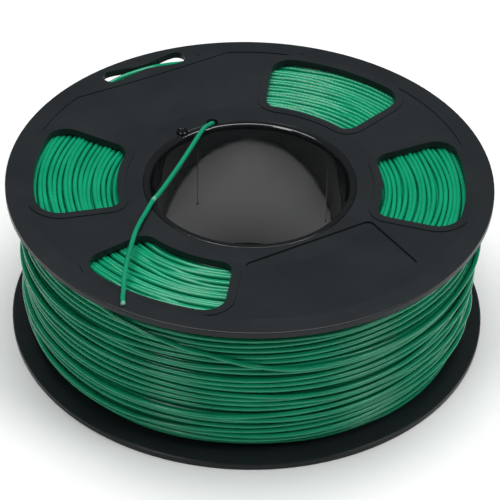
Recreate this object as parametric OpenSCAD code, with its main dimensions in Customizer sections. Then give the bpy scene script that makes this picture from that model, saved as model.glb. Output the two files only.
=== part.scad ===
// Filament spool: two snap-together moulded flanges on a hub, wound almost full,
// lying on its lower flange. Origin: middle of the base, +Z along the hub.

/* [Spool] */
// Flange diameter
spool_d = 175; // [170:1:180]
// Overall width, outer rim face to outer rim face
spool_w = 62; // [56:1:68]
// Diameter of the hub bore
bore_d = 71; // [70.5:0.5:71.5]
// Wall thickness of the flanges
flange_t = 2.6; // [2.4:0.1:2.8]

/* [Flange face] */
// How far the flange face is dished between rim and hub
dish = 2.7; // [2.5:0.1:2.9]
// Width of the flat band inside the rim
rim_band = 7.3; // [7:0.1:7.6]
// Depth of the panel that is sunk into the face
panel_depth = 0.4; // [0.3:0.05:0.5]
// Depth of the label recess below the panel
label_depth = 0.8; // [0.6:0.05:0.9]

/* [Windows] */
// Distance from the bore to a window
window_from_bore = 12.2; // [12:0.1:13]
// Distance from a window to the flat band
window_to_band = 2.8; // [2.7:0.1:3.2]
// Angle of a window's centre line from the X axis
window_at = 32; // [31.5:0.5:32.5]
// Half of the angle that a window spans
window_half = 21.2; // [20.5:0.1:21.5]
// Width of the raised border round a window
border_w = 3; // [2.9:0.1:3.1]

/* [Filament] */
// Filament diameter
filament_d = 1.75; // [1.7:0.05:1.8]
// How far the wound pack stays inside the rim at mid width
pack_inset = 4.3; // [3.5:0.1:6]
// Distance between two turns of the outer layer
turn_pitch = 2.25; // [2.1:0.05:2.4]

/* [Hidden] */
$fn = 128;
cut = 5;

rim_r = spool_d / 2;
bore_r = bore_d / 2;
band_r = rim_r - rim_band;
window_ri = bore_r + window_from_bore;
window_ro = band_r - window_to_band;
dish_r = window_ri - 0.5;
rim_round = 0.35;
hub_face = spool_w - dish - panel_depth;
hub_under = spool_w - dish - flange_t;
dish_slope = dish / (band_r - dish_r);

// The sleeve lines the bore and keys into both flanges.
sleeve_r = bore_r + 2.7;
flange_bore_r = sleeve_r + 0.05;
joint_groove = 0.4;
sleeve_sink = 0.1;
lead_in_w = 1;
lead_in_h = 2.6;
tab_h = 3.6;
tab_from = 87;
tab_sweep = 12;
parting_w = 0.3;
parting_depth = 0.2;
parting_at = [5, 92.5, 185, 272.5];
gate_r = 0.5;
gate_z = spool_w / 2 - 5;

// The core is the drum that the filament is wound on.
core_ri = bore_r + 6.1;
core_ro = core_ri + 2.2;

// Key holes on the joint between sleeve and flange.
key_ring_r = sleeve_r + 1.15;
key_at = 9.3;
key_hole_r = 2.2;
pin_ring_r = sleeve_r + 0.7;
pin_at = 9.9;
pin_r = 2.1;
pin_len = 4.4;
pin_stand = 1.1;
pin_round = 0.3;
pin_dimple_r = 1.2;
pin_dimple = 0.3;
pin_gap = 0.05;

// Corner radii of a window.
corner_in = 5.2;
corner_out = 7.9;

label_w = 51.6;
label_y = [9.3 - band_r, -4.3 - bore_r];
label_corner = 2.4;

slot_x = -0.5;
slot_y = rim_r - 7.95;
slot_half = 17.4;
slot_end_r = 3.45;
slot_waist = 1.3;
slot_lobe_x = slot_half - slot_end_r;
chord_y = rim_r - 14;

// Small gate marks beside the rim band: radius and angle of each.
mark_r = 0.9;
mark_depth = 0.2;
marks = [[rim_r - 7.9, 74.4], [rim_r - 6.2, 45.7], [rim_r - 3.7, 90.4]];

// The wound pack, with a little air under each flange.
pack_air = 0.9;
pack_r = rim_r - pack_inset;
pack_edge_r = pack_r - 1.9;
pack_crown = 0.9;
turn_r = filament_d / 2;
turn_count = floor((spool_w - 2 * flange_t - 2 * filament_d) / turn_pitch);

lead_r = sleeve_r + 1.9;
lead_z = hub_under - 2.6;
lead_from = 50;
lead_to = 76;

// Route of the free end: up through the key hole, over the bore, across the flange.
// Heights are measured from the upper rim face.
key_x = key_ring_r * sin(key_at);
key_y = key_ring_r * cos(key_at);
pin_x = pin_ring_r * sin(pin_at);
pin_y = pin_ring_r * cos(pin_at);
tail_route = [
    [9.7, 38.91, -7.9], [7.9, 39.3, -7.5], [6.7, 39.3, -6], [6.6, 38.9, -4.4],
    [6.1, 38.1, -3.1], [4.9, 37.2, -2.3], [3.2, 36.2, -1.8],
    [0.2, 34.3, -1], [-5, 30, -0.9], [-10, 25.8, -1.1], [-15, 21.7, -1.3], [-20, 17.7, -1.5],
    [-25, 13.8, -1.7], [-30, 10, -1.9], [-33.5, 7.5, -2], [-36, 6, -2.1], [-38.9, 3.4, -2],
    [-42.3, 0.2, -1.9], [-46, -3.3, -1.6], [-50.3, -7.8, -1.3], [-54.1, -12.5, -1],
    [-57.7, -17.3, -0.7], [-61.2, -22, -0.4], [-64.4, -26.8, -0.1], [-67.5, -31.6, 0.2],
    [-70.2, -36.5, 0.5], [-72.4, -40.2, 0.8], [-73.9, -43.4, 0.9]
];
tail_sides = 8;

// Section of a flange: the outer face is flat at the rim, then a shallow cone.
function face_z(r, down = 0) =
    spool_w - down - (r >= band_r ? 0 : r <= dish_r ? dish : (band_r - r) * dish_slope);

module flange_section() {
    polygon([
        [flange_bore_r, hub_face - joint_groove],
        [flange_bore_r + 2 * joint_groove, hub_face + panel_depth],
        [dish_r, face_z(dish_r)],
        [band_r, face_z(band_r)], [rim_r - rim_round, spool_w],
        [rim_r - rim_round * 0.3, spool_w - rim_round * 0.3],
        [rim_r, spool_w - rim_round], [rim_r, spool_w - flange_t + rim_round],
        [rim_r - rim_round, spool_w - flange_t], [band_r, face_z(band_r, flange_t)],
        [dish_r, face_z(dish_r, flange_t)], [flange_bore_r, face_z(flange_bore_r, flange_t)]
    ]);
}

// Everything above the face when it is sunk by a given depth.
module above_face(down) {
    rotate_extrude()
        polygon([
            [0, face_z(0, down)], [dish_r, face_z(dish_r, down)], [band_r, face_z(band_r, down)],
            [rim_r + cut, face_z(rim_r, down)], [rim_r + cut, spool_w + cut], [0, spool_w + cut]
        ]);
}

function arc(c, r, from, to, steps) =
    [for (i = [0:steps]) let (t = from + (to - from) * i / steps) c + r * [cos(t), sin(t)]];

function polar(r, t) = r * [cos(t), sin(t)];

// Upper half of a window's outline about +X; grow gives the outline of its border.
function window_half_points(grow) =
    let (
        in_c = window_ri + corner_in,
        out_c = window_ro - corner_out,
        in_half = window_half - asin(corner_in / in_c),
        out_half = window_half - asin(corner_out / out_c)
    )
    concat(
        arc([0, 0], window_ro + grow, 0, out_half, 6),
        arc(polar(out_c, out_half), corner_out + grow, out_half + 9, window_half + 90, 9),
        arc(polar(in_c, in_half), corner_in + grow, window_half + 90, in_half + 171, 8),
        arc([0, 0], window_ri - grow, in_half, 0, 5)
    );

module window_outline(grow = 0) {
    upper = window_half_points(grow);
    last = len(upper) - 2;
    polygon(concat(upper, [for (i = [last:-1:1]) [upper[i].x, -upper[i].y]]));
}

module at_windows() {
    for (a = [window_at, 180 - window_at, 180 + window_at, -window_at])
        rotate(a)
            children();
}

module panel_outline() {
    difference() {
        intersection() {
            circle(band_r);
            translate([-rim_r, chord_y - 2 * rim_r])
                square(2 * rim_r);
        }
        at_windows()
            window_outline(border_w);
    }
}

module label_outline() {
    x = label_w / 2 - label_corner;
    low = label_y[0] + label_corner;
    high = label_y[1] - label_corner;
    polygon(concat(
        arc([x, high], label_corner, 0, 90, 6), arc([-x, high], label_corner, 90, 180, 6),
        arc([-x, low], label_corner, 180, 270, 6), arc([x, low], label_corner, 270, 360, 6)
    ));
}

// The slot that holds the filament's end: round lobes joined by a narrow waist.
function waist_y(x) = let (s = sin(90 * x / slot_lobe_x)) slot_waist + (slot_end_r - slot_waist) * s * s;

module slot_outline() {
    top = [for (i = [9:-1:-9]) let (x = slot_lobe_x * i / 10) [x, waist_y(x)]];
    low = [for (i = [-9:9]) let (x = slot_lobe_x * i / 10) [x, -waist_y(x)]];
    polygon(concat(
        arc([slot_lobe_x, 0], slot_end_r, -90, 90, 14), top,
        arc([-slot_lobe_x, 0], slot_end_r, 90, 270, 14), low
    ));
}

module through() {
    linear_extrude(spool_w + cut)
        children();
}

module flange_moulding() {
    difference() {
        rotate_extrude()
            flange_section();
        through()
            at_windows()
                window_outline();
        through()
            translate([slot_x, slot_y])
                slot_outline();
        through()
            translate([key_x, key_y])
                circle(key_hole_r);
        through()
            translate([-pin_x, pin_y])
                circle(pin_r + pin_gap);
        intersection() {
            above_face(panel_depth);
            through()
                panel_outline();
        }
        intersection() {
            above_face(panel_depth + label_depth);
            through()
                label_outline();
        }
        for (m = marks)
            rotate(m[1])
                translate([m[0], 0, spool_w - mark_depth])
                    cylinder(h = cut, r = mark_r);
    }
}

module turned_over() {
    translate([0, 0, spool_w])
        rotate([0, 180, 0])
            children();
}

module top_flange() {
    color("#33373a")
        flange_moulding();
}

module bottom_flange() {
    color("#33373a")
        turned_over()
            flange_moulding();
}

// A rounded lead-in, to cut at the end of the bore: h deep and w wide.
module lead_in(h, w) {
    curve = [for (i = [0:6]) [bore_r + w * (1 - sin(15 * i)), h * (1 - cos(15 * i))]];
    polygon(concat([[0, -cut], [bore_r + w, -cut]], curve, [[0, h]]));
}

// The lead-in round the upper mouth, with a deeper tab in it.
module mouth() {
    rotate_extrude()
        lead_in(lead_in_h, lead_in_w);
    rotate(180 - tab_from - tab_sweep)
        rotate_extrude(angle = tab_sweep)
            lead_in(tab_h, lead_in_w);
}

// Bores for the filament's way out and for the pin, at one end of the sleeve.
module key_bores() {
    deep = cut + pin_len - pin_stand - sleeve_sink;
    translate([-key_x, key_y, -cut])
        cylinder(h = cut + pin_len - sleeve_sink, r = key_hole_r);
    translate([pin_x, pin_y, -cut])
        cylinder(h = deep, r = pin_r + pin_gap);
}

module bore_sleeve() {
    z0 = spool_w - hub_face + sleeve_sink;
    color("#1d1f21")
        difference() {
            translate([0, 0, z0])
                cylinder(h = spool_w - 2 * z0, r = sleeve_r);
            cylinder(h = spool_w, r = bore_r);
            translate([0, 0, z0])
                key_bores();
            turned_over()
                translate([0, 0, z0]) {
                    mouth();
                    key_bores();
                }
            for (a = parting_at)
                rotate(a)
                    translate([bore_r - parting_w, -parting_w / 2, gate_z])
                        cube([parting_w + parting_depth, parting_w, spool_w]);
            for (a = parting_at)
                rotate(a)
                    translate([bore_r - gate_r, 0, gate_z])
                        rotate([0, 90, 0])
                            cylinder(h = gate_r + 2 * parting_depth, r = gate_r, $fn = 24);
        }
}

// The drum stands between the flanges and lets the filament's inner end through.
module winding_core() {
    color("#26292b")
        difference() {
            translate([0, 0, spool_w - hub_under])
                cylinder(h = 2 * hub_under - spool_w, r = core_ro);
            cylinder(h = spool_w, r = core_ri);
            rotate(lead_from)
                translate([core_ri - 1, 0, lead_z])
                    rotate([0, 90, 0])
                        cylinder(h = cut, r = turn_r + 0.25, $fn = 32);
        }
}

// A pin with a rounded, dimpled head.
module locking_pin() {
    head = pin_len - pin_dimple;
    translate([-pin_x, pin_y, hub_face + pin_stand - pin_len])
        rotate_extrude()
            polygon([
                [0, 0], [pin_r, 0], [pin_r, pin_len - pin_round], [pin_r - pin_round, pin_len],
                [pin_dimple_r + pin_dimple, pin_len], [pin_dimple_r, head], [0, head]
            ]);
}

module locking_pins() {
    color("#3a3f42") {
        locking_pin();
        turned_over()
            locking_pin();
    }
}

// The outer turns lie a little lower towards the flanges.
function turn_centre_r(t) = pack_r - turn_r - pack_crown * t * t;

// The pack follows the dished flanges, and its last layer shows as separate turns.
module winding_section() {
    top = [for (r = [core_ro, dish_r, pack_edge_r]) [r, face_z(r, flange_t + pack_air)]];
    low = [for (p = top) [p.x, spool_w - p.y]];
    half = (turn_count - 1) / 2;
    turns = [for (i = [half:-1:-half])
        each arc([turn_centre_r(i / half), spool_w / 2 + turn_pitch * i], turn_r, 60, -60, 6)];
    polygon(concat(top, turns, [low[2], low[1], low[0]]));
}

module filament_winding() {
    color("#1fa274")
        rotate_extrude()
            winding_section();
}

// Inner end of the filament, from the drum round the gap to the key hole.
module filament_lead() {
    color("#1fa274")
        translate([0, 0, lead_z]) {
            rotate(lead_from)
                rotate_extrude(angle = lead_to - lead_from)
                    translate([lead_r, 0])
                        circle(turn_r, $fn = 32);
            rotate(lead_from)
                translate([lead_r, 0, 0])
                    rotate([0, 90, 0])
                        cylinder(h = core_ro - lead_r, r = turn_r, $fn = 32);
            rotate(lead_from)
                translate([lead_r, 0, 0])
                    sphere(turn_r, $fn = 32);
        }
}

function unit(v) = v / norm(v);
function heading(p, i) = unit(p[min(i + 1, len(p) - 1)] - p[max(i - 1, 0)]);
function tube_ring(c, dir, r, n) =
    let (u = unit(cross(dir, [dir.y, -dir.x, 0.3])), v = cross(dir, u))
    [for (k = [0:n - 1]) c + r * (cos(360 * k / n) * u + sin(360 * k / n) * v)];

module filament_tail() {
    n = tail_sides;
    m = len(tail_route);
    route = [for (p = tail_route) p + [0, 0, spool_w]];
    rings = [for (i = [0:m - 1]) each tube_ring(route[i], heading(route, i), turn_r, n)];
    walls = [for (i = [0:m - 2], k = [0:n - 1])
        [i * n + k, (i + 1) * n + k, (i + 1) * n + (k + 1) % n, i * n + (k + 1) % n]];
    start_cap = [for (k = [0:n - 1]) k];
    end_cap = [for (k = [n - 1:-1:0]) (m - 1) * n + k];
    color("#3fc795")
        polyhedron(rings, concat([start_cap], walls, [end_cap]));
}

top_flange();
bottom_flange();
bore_sleeve();
winding_core();
locking_pins();
filament_winding();
filament_lead();
filament_tail();
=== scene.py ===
"""Looks of the filament spool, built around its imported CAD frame. Lengths are in metres."""

import math

import bpy
import numpy as np
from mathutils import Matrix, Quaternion, Vector, noise


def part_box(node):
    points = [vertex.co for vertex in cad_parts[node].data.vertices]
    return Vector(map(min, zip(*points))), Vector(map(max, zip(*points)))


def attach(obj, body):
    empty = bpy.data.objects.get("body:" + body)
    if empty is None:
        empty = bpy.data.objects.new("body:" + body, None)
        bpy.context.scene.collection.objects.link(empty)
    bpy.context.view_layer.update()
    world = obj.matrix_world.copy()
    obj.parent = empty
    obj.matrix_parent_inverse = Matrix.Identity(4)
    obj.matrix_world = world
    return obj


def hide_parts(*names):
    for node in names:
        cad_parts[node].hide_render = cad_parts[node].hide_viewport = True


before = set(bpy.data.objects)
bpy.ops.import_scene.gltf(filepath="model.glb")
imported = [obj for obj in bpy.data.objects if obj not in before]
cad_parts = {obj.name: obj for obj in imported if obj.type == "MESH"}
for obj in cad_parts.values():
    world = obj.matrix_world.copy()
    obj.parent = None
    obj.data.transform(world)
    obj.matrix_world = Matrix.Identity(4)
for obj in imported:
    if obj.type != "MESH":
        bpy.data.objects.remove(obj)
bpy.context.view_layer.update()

MM = 0.001
scene = bpy.context.scene

# Sizes that come from the frame.
_, flange_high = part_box("top_flange")
_, pack_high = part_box("filament_winding")
_, core_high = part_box("winding_core")
SPOOL_W = flange_high.z
RIM_R = flange_high.y
PACK_R = pack_high.x
CORE_R = core_high.x
MIDDLE = Vector((0, 0, SPOOL_W / 2))

# Shape of a flange, as in the CAD model.
FLANGE_T = 2.6 * MM
DISH = 2.7 * MM
BAND_R = RIM_R - 7.3 * MM
DISH_R = 47.2 * MM

# The filament. Wound strands are drawn a little thin, so that they touch without cutting in.
STRAND_D = 1.75 * MM
STRAND_R = STRAND_D / 2
WOUND_R = 0.985 * STRAND_R
WOUND_SIDES = 8


# ---- Small tools ---------------------------------------------------------------------


def mesh_object(name, points, faces, material, smooth=True):
    """A mesh piece from its points and faces."""
    mesh = bpy.data.meshes.new(name)
    mesh.from_pydata(points, [], faces)
    mesh.materials.append(material)
    if smooth:
        mesh.shade_smooth()
    piece = bpy.data.objects.new(name, mesh)
    scene.collection.objects.link(piece)
    return piece


def wander(*where):
    """Smooth noise from about -1 to 1."""
    return noise.noise(Vector(where))


def smoothed(values, reach, ends="edge"):
    """Values averaged over their neighbours, with the ends held, or joined by "wrap"."""
    window = np.hanning(2 * reach + 3)[1:-1]
    padded = np.pad(values, reach, mode=ends)
    return np.convolve(padded, window / window.sum(), mode="valid")


def face_drop(radius):
    """How far a flange's outer face lies below its rim face at a radius."""
    share = (BAND_R - radius) / (BAND_R - DISH_R)
    return DISH * np.clip(share, 0, 1)


# ---- Camera --------------------------------------------------------------------------

VIEW_AZIMUTH = math.radians(-31)
VIEW_ELEVATION = math.radians(38.13)
VIEW_ROLL = math.radians(1.39)
VIEW_DISTANCE = 807.2 * MM
VIEW_LENS = 158.3
VIEW_SENSOR = 36
VIEW_SHIFT = (0.0032, -0.0146)


def make_camera():
    data = bpy.data.cameras.new("camera")
    data.lens = VIEW_LENS
    data.sensor_width = VIEW_SENSOR
    data.shift_x, data.shift_y = VIEW_SHIFT
    camera = bpy.data.objects.new("camera", data)
    flat = math.cos(VIEW_ELEVATION)
    back = Vector(
        (
            math.sin(VIEW_AZIMUTH) * flat,
            -math.cos(VIEW_AZIMUTH) * flat,
            math.sin(VIEW_ELEVATION),
        )
    )
    camera.location = MIDDLE + back * VIEW_DISTANCE
    camera.rotation_mode = "QUATERNION"
    roll = Quaternion((0, 0, 1), VIEW_ROLL)
    camera.rotation_quaternion = (-back).to_track_quat("-Z", "Y") @ roll
    scene.collection.objects.link(camera)
    scene.camera = camera


# ---- Materials -----------------------------------------------------------------------


class Nodes:
    """A material's node tree with short ways to add and join nodes."""

    def __init__(self, name):
        self.material = bpy.data.materials.new(name)
        self.material.use_nodes = True
        self.tree = self.material.node_tree
        self.shader = self.tree.nodes["Principled BSDF"]
        self.place = self.add("ShaderNodeTexCoord").outputs["Object"]

    def add(self, kind, **settings):
        node = self.tree.nodes.new(kind)
        for key, value in settings.items():
            setattr(node, key, value)
        return node

    def join(self, source, target):
        self.tree.links.new(source, target)

    def noise(self, scale, detail, roughness=0.55, stretch=None):
        """Noise on the object's own coordinates; scale is in waves to a metre."""
        node = self.add("ShaderNodeTexNoise")
        node.inputs["Scale"].default_value = scale
        node.inputs["Detail"].default_value = detail
        node.inputs["Roughness"].default_value = roughness
        where = self.place
        if stretch:
            mapping = self.add("ShaderNodeMapping")
            mapping.inputs["Scale"].default_value = stretch
            self.join(self.place, mapping.inputs["Vector"])
            where = mapping.outputs["Vector"]
        self.join(where, node.inputs["Vector"])
        return node.outputs["Fac"]

    def ramp(self, value, low, high, start=0.3, end=0.7):
        """Maps a value to a colour or grey between two stops."""
        node = self.add("ShaderNodeValToRGB")
        for element, place, shade in zip(
            node.color_ramp.elements, (start, end), (low, high)
        ):
            element.position = place
            element.color = (shade,) * 3 + (1,) if isinstance(shade, float) else (*shade, 1)
        self.join(value, node.inputs["Fac"])
        return node.outputs["Color"]

    def mix(self, share, low, high, mode="MIX"):
        """Mixes two colours; each argument is a value or another node's output."""
        node = self.add("ShaderNodeMix", data_type="RGBA", blend_type=mode)
        colour_sockets = [s for s in node.inputs if s.type == "RGBA"]
        for socket, value in zip([node.inputs["Factor"], *colour_sockets], (share, low, high)):
            if isinstance(value, bpy.types.NodeSocket):
                self.join(value, socket)
            elif isinstance(value, float):
                socket.default_value = value
            else:
                socket.default_value = (*value, 1)
        return next(s for s in node.outputs if s.type == "RGBA")

    def soft_edges(self, radius):
        """Normals that round the edges a little."""
        node = self.add("ShaderNodeBevel", samples=6)
        node.inputs["Radius"].default_value = radius
        return node.outputs["Normal"]

    def bump(self, height, strength, distance, below=None):
        node = self.add("ShaderNodeBump")
        node.inputs["Strength"].default_value = strength
        node.inputs["Distance"].default_value = distance
        self.join(height, node.inputs["Height"])
        if below:
            self.join(below, node.inputs["Normal"])
        return node.outputs["Normal"]

    def set(self, **values):
        """Sets the shader's own sockets."""
        for key, value in values.items():
            self.shader.inputs[key.replace("_", " ")].default_value = value

    def feed(self, **sources):
        """Joins outputs to the shader's sockets."""
        for key, source in sources.items():
            self.join(source, self.shader.inputs[key.replace("_", " ")])


def moulded_black(name, low, high, rough, grain, ior, soft=0):
    """Moulded black plastic: faint mottling, a fine grain, scuffs and handling marks."""
    n = Nodes(name)
    mottle = n.ramp(n.noise(scale=55, detail=4), low, high)
    scuff = n.noise(scale=900, detail=5, roughness=0.7, stretch=(1, 0.12, 1))
    n.feed(Base_Color=n.mix(n.ramp(scuff, 0.0, 1.0, start=0.66, end=0.8), mottle, high))
    handled = n.noise(scale=38, detail=5, roughness=0.6)
    n.feed(Roughness=n.ramp(handled, *rough))
    edges = n.soft_edges(soft) if soft else None
    fine = n.bump(n.noise(scale=3200, detail=2), grain, distance=0.02 * MM, below=edges)
    waves = n.bump(n.noise(scale=70, detail=2), 0.12, distance=0.5 * MM, below=fine)
    n.feed(Normal=waves)
    n.set(IOR=ior)
    return n.material


def extruded(n, patches, rough, ior):
    """The gloss of extruded filament, which changes in patches, and its fine draw marks."""
    n.feed(Roughness=n.ramp(n.noise(scale=patches, detail=3), *rough))
    n.feed(Normal=n.bump(n.noise(scale=240, detail=2), 0.06, distance=0.1 * MM))
    n.set(IOR=ior)


def strand_shade(n, low, high):
    """Slight changes of shade along a strand."""
    return n.ramp(n.noise(scale=85, detail=3), low, high)


def filament_green():
    """The wound filament's green."""
    n = Nodes("green_filament")
    n.feed(Base_Color=strand_shade(n, (0.004, 0.24, 0.116), (0.006, 0.29, 0.145)))
    extruded(n, patches=160, rough=(0.12, 0.2), ior=1.44)
    return n.material


# ---- Loose end -----------------------------------------------------------------------

# Route of the loose end, in millimetres: across, along, and up from the upper rim face.
TAIL_ROUTE = [
    (9.7, 38.91, -7.9),
    (7.9, 39.3, -7.5),
    (6.7, 39.3, -6),
    (6.6, 38.9, -4.4),
    (6.1, 38.1, -3.1),
    (4.9, 37.2, -2.3),
    (3.2, 36.2, -1.8),
    (0.2, 34.3, -1),
    (-5, 30, -0.9),
    (-10, 25.8, -1.1),
    (-15, 21.7, -1.3),
    (-20, 17.7, -1.5),
    (-25, 13.8, -1.7),
    (-30, 10, -1.9),
    (-33.5, 7.5, -2),
    (-36, 6, -2.1),
    (-38.9, 3.4, -2),
    (-42.3, 0.2, -1.9),
    (-46, -3.3, -1.6),
    (-50.3, -7.8, -1.3),
    (-54.1, -12.5, -1),
    (-57.7, -17.3, -0.7),
    (-61.2, -22, -0.4),
    (-64.4, -26.8, -0.1),
    (-67.5, -31.6, 0.2),
    (-70.2, -36.5, 0.5),
    (-72.4, -40.2, 0.8),
    (-73.9, -43.4, 0.9),
]
TAIL_KINK = 15  # the route's point at the sharp bend
TAIL_CUT = len(TAIL_ROUTE) - 1
TAIL_STEPS = 4  # steps from one point of the route to the next
TAIL_SIDES = 12

# Where the plastic is whitened, and how far from there.
WHITENED = {TAIL_KINK: 1.4 * MM, TAIL_CUT: 1.2 * MM}

# A path whose heading is less level than this share takes another sideways direction.
STEEP = 0.2


def tube(path, radius, sides, closed=False):
    """Points and faces of a tube along a path."""
    path = np.asarray(path, float)
    count = len(path)
    if closed:
        heading = np.roll(path, -1, 0) - np.roll(path, 1, 0)
    else:
        heading = np.gradient(path, axis=0)
    heading /= np.linalg.norm(heading, axis=1)[:, None]
    side = np.cross(heading, (0.0, 0.0, 1.0))
    weak = np.linalg.norm(side, axis=1) < STEEP
    side[weak] = np.cross(heading[weak], (1.0, 0.3, 0.0))
    side /= np.linalg.norm(side, axis=1)[:, None]
    up = np.cross(side, heading)
    turn = 2 * np.pi * np.arange(sides) / sides
    ring = (
        np.cos(turn)[None, :, None] * side[:, None, :]
        + np.sin(turn)[None, :, None] * up[:, None, :]
    )
    points = (path[:, None, :] + radius * ring).reshape(-1, 3)
    faces = []
    for i in range(count if closed else count - 1):
        a, b = i * sides, (i + 1) % count * sides
        for k in range(sides):
            m = (k + 1) % sides
            faces.append((a + k, b + k, b + m, a + m))
    if not closed:
        faces.append(tuple(range(sides)))
        last = (count - 1) * sides
        faces.append(tuple(last + k for k in reversed(range(sides))))
    return points, faces


def spline(points, steps):
    """A smooth path through every point, with a number of steps between each pair."""
    points = [Vector(p) for p in points]
    ends = [2 * points[0] - points[1]] + points + [2 * points[-1] - points[-2]]
    path = []
    for a, b, c, d in zip(ends, ends[1:], ends[2:], ends[3:]):
        for s in range(steps):
            t = s / steps
            path.append(
                0.5
                * (
                    2 * b
                    + (c - a) * t
                    + (2 * a - 5 * b + 4 * c - d) * t**2
                    + (3 * b - a - 3 * c + d) * t**3
                )
            )
    return path + [points[-1]]


def tail_material(route):
    """The loose end's green, whitened where the strand was bent sharply and at its cut."""
    n = Nodes("loose_filament")
    colour = strand_shade(n, (0.006, 0.22, 0.115), (0.010, 0.27, 0.145))
    marks = []
    for point, reach in WHITENED.items():
        away = n.add("ShaderNodeVectorMath", operation="DISTANCE")
        away.inputs[1].default_value = route[point]
        n.join(n.place, away.inputs[0])
        scaled = n.add("ShaderNodeMath", operation="DIVIDE")
        scaled.inputs[1].default_value = reach
        n.join(away.outputs["Value"], scaled.inputs[0])
        marks.append(n.ramp(scaled.outputs[0], 1.0, 0.0, start=0.2, end=1.0))
    either = n.mix(1.0, marks[0], marks[1], mode="ADD")
    n.feed(Base_Color=n.mix(either, colour, (0.30, 0.62, 0.46)))
    extruded(n, patches=420, rough=(0.1, 0.18), ior=1.55)
    return n.material


def make_tail():
    route = [(x * MM, y * MM, SPOOL_W + z * MM) for x, y, z in TAIL_ROUTE]
    path = spline(route, TAIL_STEPS)
    points, faces = tube(path, STRAND_R, TAIL_SIDES)
    piece = mesh_object("loose_end", points.tolist(), faces, tail_material(route))
    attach(piece, "root")
    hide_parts("filament_tail")


# ---- Wound filament ------------------------------------------------------------------

AROUND = 160  # points on one turn
ANGLES = 2 * np.pi * np.arange(AROUND) / AROUND
SOFTENING = 3  # points to each side over which a strand's bends are softened

CROWDING = 0.18  # how much closer the turns lie at the bottom of a layer than at its top
CROWN = 0.2 * MM  # how much lower a layer is at its ends than in its middle
STEADY_ENDS = 12  # the layer's first and last twelfth stray less and less

# How a layer's turns stray, alone and with their neighbours: waves round the spool, and
# how fast that changes from turn to turn.
LAYER_WAVES = (0.9, 0.9)
LAYER_RATES = (0.8, 0.12)
SIDE_WAVES = (1.9, 1.2)
SIDE_RATES = (0.8, 0.25)
SIDE_STRAY = (1.0 * MM, 1.0 * MM)

SIDE_PITCH = 1.74 * MM
SIDE_INSET = 2.2 * MM
SIDE_ROW_SHIFT = 40  # sets the two rows' noise apart
SIDE_DEPTH = 5.1 * MM + STRAND_R  # from the flange's outer face to the under row
SIDE_LIFT = 2.2 * MM  # the most that a strand of the upper row may rise

INNER_INSET = 4.9 * MM
INNER_DEPTH = 6.4 * MM
INNER_SIDES = 128
RIDGE_PITCH = 2.2 * MM
RIDGE_HEIGHT = 0.5 * MM
RIDGE_STEPS = 6


def stray(angle, place, waves, rates, reach, seed, shift=0):
    """How far a turn strays at an angle, alone and together with its neighbours."""
    c, s = math.cos(angle), math.sin(angle)
    own = wander(c * waves[0] + seed, s * waves[0], place * rates[0] + shift)
    shared = wander(c * waves[1], s * waves[1] + seed, place * rates[1] + shift)
    return reach[0] * own + reach[1] * shared


def resting(off):
    """How far above a strand another one's centre lies, at a distance sideways."""
    return np.sqrt(np.clip(STRAND_D**2 - off**2, 0, None))


def settle(across, base, below):
    """How high each strand lies at each angle when it rests on those laid before it.

    across holds each strand's place sideways, base its height with nothing under it, and
    below the (across, height) arrays of strands already laid.
    """
    laid = list(below)
    heights = np.array(base, float)
    for i in range(len(across)):
        for other_across, other_height in laid:
            off = np.abs(across[i] - other_across)
            over = np.maximum(heights[i], other_height + resting(off))
            heights[i] = np.where(off < STRAND_D, over, heights[i])
        laid.append((across[i], heights[i]))
    return heights


def helix_layer(low, high, turns, radius, seed, stray_by):
    """Turns of one layer as arrays of height and radius: a helix that wanders a little."""
    height = np.empty((turns, AROUND))
    for t in range(turns):
        for k, angle in enumerate(ANGLES):
            share = (t + k / AROUND) / turns
            way = (high - low) * (share + CROWDING * share * (share - 1))
            freedom = min(1.0, STEADY_ENDS * share, STEADY_ENDS * (1 - share))
            off = stray(angle, share * turns, LAYER_WAVES, LAYER_RATES, stray_by, seed)
            height[t, k] = low + way + freedom * off
    middle = (height - SPOOL_W / 2) / (SPOOL_W / 2 - FLANGE_T)
    return height, radius - CROWN * middle**2


def softened(turns):
    """Softens turn after turn as the one strand that they are."""
    return smoothed(turns.ravel(), SOFTENING).reshape(turns.shape)


def round_path(angle, radius, height):
    """Points at angles, radii and heights round the spool's axis."""
    height = np.broadcast_to(height, angle.shape)
    return np.stack([radius * np.cos(angle), radius * np.sin(angle), height], axis=1)


def add_winding(name, points, faces, material):
    piece = mesh_object(name, points, faces, material)
    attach(piece, "root")
    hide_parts("filament_winding")


def add_layer(name, heights, radii, material):
    """One layer's turns as a single strand."""
    path = round_path(np.tile(ANGLES, len(heights)), radii.ravel(), heights.ravel())
    points, faces = tube(path, WOUND_R, WOUND_SIDES)
    add_winding(name, points.tolist(), faces, material)


# The last turn: angle, height and radius with nothing under it, in millimetres. It starts as
# the outer layer ends, rises through the waist of the slot, dives across the layer and is
# tucked in at the top.
LAST_TURN = [
    (0, 56.4, 80.6),
    (60, 57.2, 82),
    (73, 57.3, 82.2),
    (76.5, 57.6, 82.1),
    (79.7, 58.2, 81.7),
    (82.3, 59.4, 80.5),
    (85, 60.2, 79.8),
    (87.8, 60.8, 79.4),
    (90.9, 60.9, 79.4),
    (93.9, 60.5, 80),
    (96.7, 59.8, 81),
    (98.4, 59, 81.8),
    (99.8, 58.2, 82.4),
    (103, 57.6, 82.5),
    (108, 57.4, 82.5),
    (182, 57.6, 82.4),
    (196, 56.2, 81),
    (212, 51.6, 80.6),
    (222, 49.2, 80.6),
    (233, 46.2, 80.6),
    (244, 42.2, 80.6),
    (252, 40.7, 80.6),
    (264, 40.3, 80.6),
    (330, 40.8, 80.6),
    (385, 43, 80.6),
    (412, 50, 80.6),
    (428, 56.6, 81),
    (438, 58.2, 81),
]
LAST_TURN_STEP = 1  # degrees
LAST_TURN_SOFTENING = 2
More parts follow.
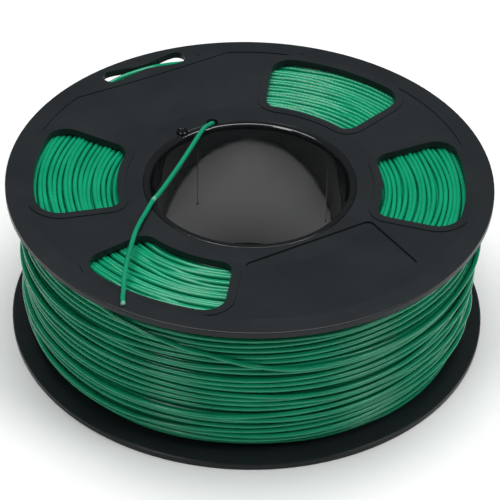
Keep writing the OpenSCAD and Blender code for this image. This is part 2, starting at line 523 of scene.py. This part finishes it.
LAST_TURN_SIDES = 10


def last_turn(laid):
    """Path of the last turn, which crosses the turns that are already laid."""
    known, heights, radii = np.array(LAST_TURN).T
    known = np.radians(known)
    angle = np.radians(np.arange(LAST_TURN[0][0], LAST_TURN[-1][0], LAST_TURN_STEP))
    height = smoothed(np.interp(angle, known, heights * MM), LAST_TURN_SOFTENING)
    radius = np.interp(angle, known, radii * MM)
    spot = np.round(angle / (2 * np.pi) * AROUND).astype(int) % AROUND
    for laid_height, laid_radius in laid:
        off = np.abs(height - laid_height[spot])
        over = np.maximum(radius, laid_radius[spot] + resting(off))
        radius = np.where(off < STRAND_D, over, radius)
    return round_path(angle, smoothed(radius, SOFTENING), height)


def make_outer_turns(material):
    """The two outermost layers, and the last turn that crosses them."""
    under_h, under_r = helix_layer(
        low=7.4 * MM,
        high=56.6 * MM,
        turns=24,
        radius=PACK_R - 3.85 * MM,
        seed=7.3,
        stray_by=(0.5 * MM, 0.5 * MM),
    )
    under_r = softened(settle(under_h, under_r, []))
    under = list(zip(under_h, under_r))
    outer_h, outer_r = helix_layer(
        low=7.2 * MM,
        high=56.4 * MM,
        turns=22,
        radius=PACK_R - 4.1 * MM,
        seed=2.1,
        stray_by=(1.7 * MM, 1.5 * MM),
    )
    outer_r = softened(settle(outer_h, outer_r, under))
    outer = list(zip(outer_h, outer_r))
    add_layer("under_turns", under_h, under_r, material)
    add_layer("outer_turns", outer_h, outer_r, material)
    points, faces = tube(last_turn(under + outer), STRAND_R, LAST_TURN_SIDES)
    add_winding("last_turn", points.tolist(), faces, material)


def make_side_turns(name, top, seed, material):
    """Turns that lie against a flange, in two rows, as its windows show them."""
    first, last = CORE_R + STRAND_R, PACK_R - SIDE_INSET
    count = int((last - first) / SIDE_PITCH)
    rows = []
    for row in range(2):
        radius = np.empty((count, AROUND))
        shift = row * SIDE_ROW_SHIFT
        for i in range(count):
            place = first + (i + 0.5 * row) * SIDE_PITCH
            for k, angle in enumerate(ANGLES):
                off = stray(angle, i, SIDE_WAVES, SIDE_RATES, SIDE_STRAY, seed, shift)
                radius[i, k] = place + off
        rows.append(radius)
    under_z = np.zeros_like(rows[0])
    upper_z = settle(rows[1], under_z, list(zip(rows[0], under_z)))
    upper_z = [smoothed(z, SOFTENING, ends="wrap") for z in upper_z]
    points, faces = [], []
    for radii, lifts in ((rows[0], under_z), (rows[1], upper_z)):
        for radius, lift in zip(radii, lifts):
            down = face_drop(radius) + SIDE_DEPTH - np.minimum(lift, SIDE_LIFT)
            path = round_path(ANGLES, radius, SPOOL_W - down if top else down)
            ring_points, ring_faces = tube(path, WOUND_R, WOUND_SIDES, closed=True)
            start = len(points)
            points.extend(ring_points.tolist())
            faces.extend(tuple(start + v for v in face) for face in ring_faces)
    add_winding(name, points, faces, material)


def make_inner_pack(material):
    """The layers that no gap reaches: a turned body with the turns as ridges."""
    outer = PACK_R - INNER_INSET
    high = SPOOL_W - INNER_DEPTH
    high_in = high - float(face_drop(CORE_R))
    low, low_in = SPOOL_W - high, SPOOL_W - high_in
    steps = int((high - low) / RIDGE_PITCH) * RIDGE_STEPS
    profile = [(CORE_R, low_in)]
    for i in range(steps + 1):
        ridge = RIDGE_HEIGHT * abs(math.sin(math.pi * i / RIDGE_STEPS))
        profile.append((outer + ridge, low + (high - low) * i / steps))
    profile.append((CORE_R, high_in))
    points, faces = [], []
    for k in range(INNER_SIDES):
        t = 2 * math.pi * k / INNER_SIDES
        points.extend((r * math.cos(t), r * math.sin(t), z) for r, z in profile)
    count = len(profile)
    for k in range(INNER_SIDES):
        a, b = k * count, (k + 1) % INNER_SIDES * count
        for i in range(count):
            j = (i + 1) % count
            faces.append((a + i, b + i, b + j, a + j))
    add_winding("inner_pack", points, faces, material)


# ---- Finish of the CAD nodes ---------------------------------------------------------


def dress(node, material):
    """Gives a CAD node its finished material."""
    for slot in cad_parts[node].material_slots:
        slot.material = material


def dress_cad_nodes(green):
    """Black mouldings, a polished sleeve, duller pins, and the lead in the filament's green."""
    flange = moulded_black(
        "flange_black",
        low=(0.0122, 0.0152, 0.0172),
        high=(0.0153, 0.0187, 0.0212),
        rough=(0.26, 0.36),
        grain=0.15,
        ior=1.29,
    )
    sleeve = moulded_black(
        "sleeve_black",
        low=(0.006, 0.0075, 0.0085),
        high=(0.009, 0.0105, 0.0115),
        rough=(0.05, 0.09),
        grain=0.03,
        ior=1.85,
        soft=0.3 * MM,
    )
    pins = moulded_black(
        "pin_black",
        low=(0.004, 0.005, 0.0055),
        high=(0.006, 0.0075, 0.008),
        rough=(0.2, 0.3),
        grain=0.1,
        ior=1.45,
    )
    dress("top_flange", flange)
    dress("bottom_flange", flange)
    dress("winding_core", flange)
    dress("bore_sleeve", sleeve)
    dress("locking_pins", pins)
    dress("filament_lead", green)


# ---- Room ----------------------------------------------------------------------------

FLOOR_REACH = 3.0
AIM = Vector((0, 0, 0.03))

# Strength of the world's white, as it lights the spool and as the camera sees it.
WORLD_LIGHT = 0.05
WORLD_SEEN = 0.8


def make_floor():
    n = Nodes("pale_floor")
    n.feed(Base_Color=n.ramp(n.noise(scale=3, detail=2), 0.9, 0.92))
    n.set(Roughness=0.6)
    corners = [
        (x * FLOOR_REACH, y * FLOOR_REACH, 0) for x, y in ((-1, -1), (1, -1), (1, 1), (-1, 1))
    ]
    floor = mesh_object("floor", corners, [(0, 1, 2, 3)], n.material, smooth=False)


def area_light(name, place, size, watts):
    data = bpy.data.lights.new(name, "AREA")
    data.shape = "RECTANGLE"
    data.size, data.size_y = size
    data.energy = watts
    light = bpy.data.objects.new(name, data)
    light.location = place
    light.rotation_mode = "QUATERNION"
    light.rotation_quaternion = (AIM - Vector(place)).to_track_quat("-Z", "Y")
    scene.collection.objects.link(light)


def make_world():
    """A white room that looks pale behind the floor and lights the spool only a little."""
    world = bpy.data.worlds.new("studio")
    world.use_nodes = True
    tree = world.node_tree
    glow = tree.nodes["Background"]
    glow.inputs["Color"].default_value = (1, 1, 1, 1)
    ray = tree.nodes.new("ShaderNodeLightPath")
    strength = tree.nodes.new("ShaderNodeMapRange")
    strength.inputs["To Min"].default_value = WORLD_LIGHT
    strength.inputs["To Max"].default_value = WORLD_SEEN
    tree.links.new(ray.outputs["Is Camera Ray"], strength.inputs["Value"])
    tree.links.new(strength.outputs["Result"], glow.inputs["Strength"])
    scene.world = world


def make_lights():
    make_world()
    area_light("overhead", place=(0.08, 0.14, 1.1), size=(1.0, 0.8), watts=14)
    area_light("left", place=(-0.75, -0.25, 0.85), size=(0.3, 0.5), watts=2.5)
    area_light("right", place=(0.45, -0.65, 0.8), size=(0.35, 0.5), watts=3.5)
    scene.view_settings.view_transform = "Standard"


# ---- The scene -----------------------------------------------------------------------

make_camera()
make_tail()

green = filament_green()
make_outer_turns(green)
make_side_turns("top_side_turns", True, 3.7, green)
make_side_turns("bottom_side_turns", False, 9.2, green)
make_inner_pack(green)
dress_cad_nodes(green)

make_floor()
make_lights()
